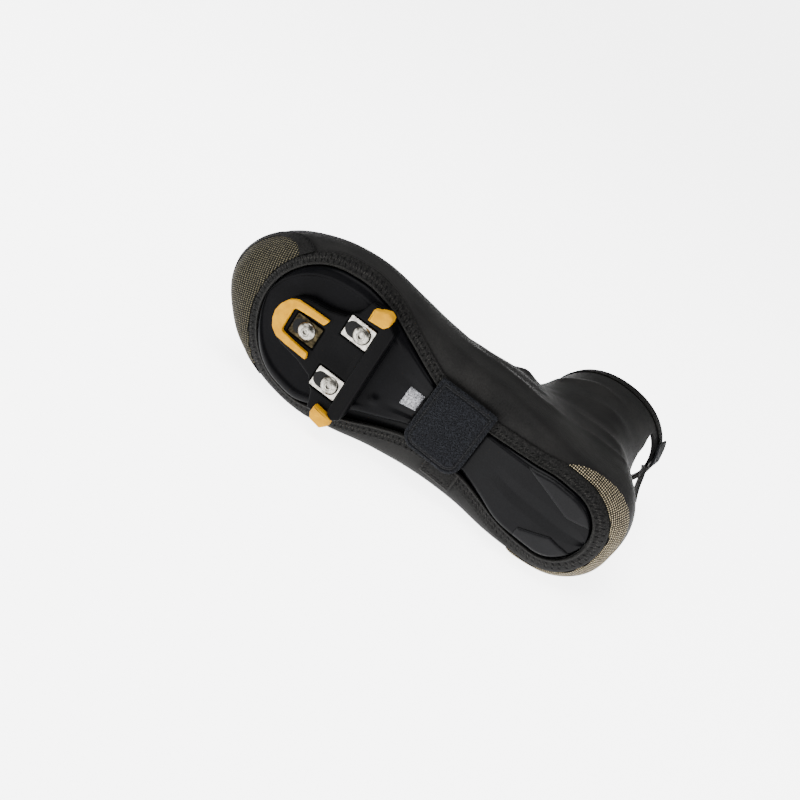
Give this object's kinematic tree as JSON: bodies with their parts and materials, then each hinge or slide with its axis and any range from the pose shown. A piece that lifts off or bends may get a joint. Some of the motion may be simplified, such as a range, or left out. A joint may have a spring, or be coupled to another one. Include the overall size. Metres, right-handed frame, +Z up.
{
  "type": "cycling overshoe",
  "caption": "Left neoprene cycling overshoe over a road shoe sole, laid on its side, with woven toe and heel panels, an arch strap and a cleat.",
  "frame": {"origin": "centre of the bounding box's base, on the floor that the shoe lies on", "axes": "+X towards the heel along the shoe's length, -Y the way the sole faces, +Z up from the floor; the toe points to -X"},
  "size_m": [0.2668, 0.1904, 0.0982],
  "materials": {
    "neoprene": "matte knit-faced neoprene",
    "band_textile": "matte woven binding",
    "woven_panel": "coarse basket weave",
    "loop_fabric": "brushed loop",
    "sole_plastic": "satin to gloss",
    "heel_rubber": "satin",
    "insole_foam": "matte",
    "window_mesh": "speckled",
    "cleat_plastic": "satin",
    "cleat_pad": "satin",
    "cleat_steel": "brushed"
  },
  "bodies": {
    "root": {"upper": "neoprene", "outsole": "sole_plastic", "insole": "insole_foam", "bottom_band": "band_textile", "toe_panel": "woven_panel", "heel_panel": "woven_panel", "cuff": "neoprene", "collar_tab": "loop_fabric", "strap": "loop_fabric", "strap_catch": "band_textile", "heel_pad_left": "heel_rubber", "heel_pad_right": "heel_rubber", "sole_window": "window_mesh", "cleat_body": "cleat_plastic", "cleat_front_pad": "cleat_pad", "cleat_pad_left": "cleat_pad", "cleat_pad_right": "cleat_pad", "washer_left": "cleat_steel", "washer_right": "cleat_steel", "washer_front": "cleat_steel", "bolt_left": "cleat_steel", "bolt_right": "cleat_steel", "bolt_front": "cleat_steel"}
  },
  "joints": []
}
